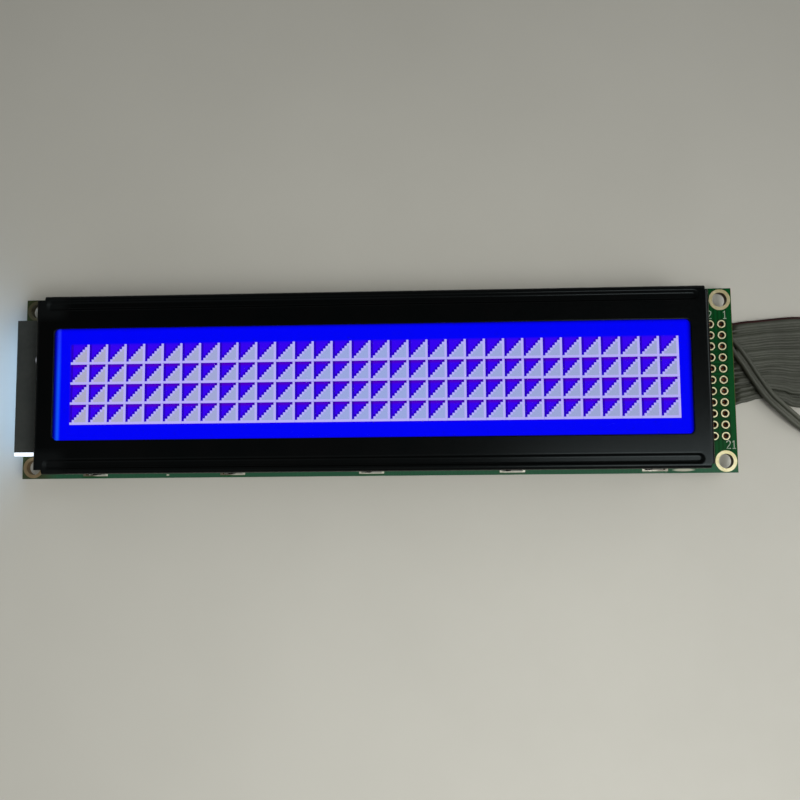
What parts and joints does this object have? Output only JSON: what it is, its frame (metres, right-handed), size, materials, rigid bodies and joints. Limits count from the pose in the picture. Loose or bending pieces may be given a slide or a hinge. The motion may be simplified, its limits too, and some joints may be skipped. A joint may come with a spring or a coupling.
{
  "type": "dot-matrix lcd module",
  "caption": "Dot-matrix liquid crystal display module: black pressed bezel over a blue edge-lit screen on a circuit board with corner holes, a soldered ribbon lead and a backlight lead.",
  "frame": {"origin": "middle of the circuit board's outline, on the plane that the bezel's tab ends stand on", "axes": "+X along the display towards the header, +Y up the display, +Z out of the screen"},
  "size_m": [0.2848, 0.0418, 0.0128],
  "materials": {
    "solder_mask": "green solder mask over glass-fibre laminate",
    "gold_plate": "thin gold over copper",
    "tin": "solder and tinned copper, satin",
    "black_steel": "black satin coating on pressed steel",
    "polarizer": "tinted film, gloss",
    "glass": "clear float glass",
    "seal_resin": "cured epoxy",
    "lit_dots": "switched liquid crystal, lit from behind",
    "zebra_rubber": "layered conductive silicone",
    "white_moulding": "white moulded polycarbonate",
    "white_film": "white polyester film",
    "acrylic": "clear acrylic",
    "lamp": "white lamp with phosphor face",
    "dark_tape": "dark grey shading tape",
    "resin_drop": "black potting resin",
    "chip_case": "moulded epoxy",
    "chip_resistor": "black glaze",
    "chip_ceramic": "tan ceramic",
    "tantalum_case": "moulded amber epoxy",
    "copper": "bare copper wire",
    "grey_pvc": "grey flexible insulation",
    "black_moulding": "black moulded polyester",
    "contact_gold": "gold-flashed spring metal"
  },
  "bodies": {
    "root": {"circuit_board": "solder_mask", "mounting_lands": "gold_plate", "header_lands": "gold_plate", "tab_lands": "tin", "bezel": "black_steel", "front_polarizer": "polarizer", "front_glass": "glass", "cell_seal": "seal_resin", "dot_matrix": "lit_dots", "rear_glass": "glass", "rear_polarizer": "polarizer", "upper_zebra_strip": "zebra_rubber", "lower_zebra_strip": "zebra_rubber", "backlight_tray": "white_moulding", "reflector_film": "white_film", "light_guide": "acrylic", "diffuser_film": "white_film", "lamp_strip": "white_moulding", "lamps": "lamp", "backlight_pins": "tin", "backlight_solder": "tin", "shading_tape": "dark_tape", "column_driver_1": "resin_drop", "column_driver_2": "resin_drop", "column_driver_3": "resin_drop", "column_driver_4": "resin_drop", "row_driver": "resin_drop", "bias_amplifier": "chip_case", "bias_amplifier_leads": "tin", "charge_pump": "chip_case", "charge_pump_leads": "tin", "chip_resistors": "chip_resistor", "chip_capacitors": "chip_ceramic", "tantalum_capacitors": "tantalum_case", "chip_terminals": "tin", "ribbon_cable": "grey_pvc", "ribbon_tails": "grey_pvc", "tail_conductors": "copper", "header_solder": "tin", "ribbon_socket": "black_moulding", "ribbon_socket_cap": "black_moulding", "ribbon_socket_contacts": "contact_gold", "backlight_lead": "grey_pvc", "lead_tails": "grey_pvc", "lead_conductors": "copper", "lead_lands": "gold_plate", "lead_solder": "tin", "lead_housing": "black_moulding", "lead_contacts": "contact_gold"}
  },
  "joints": []
}
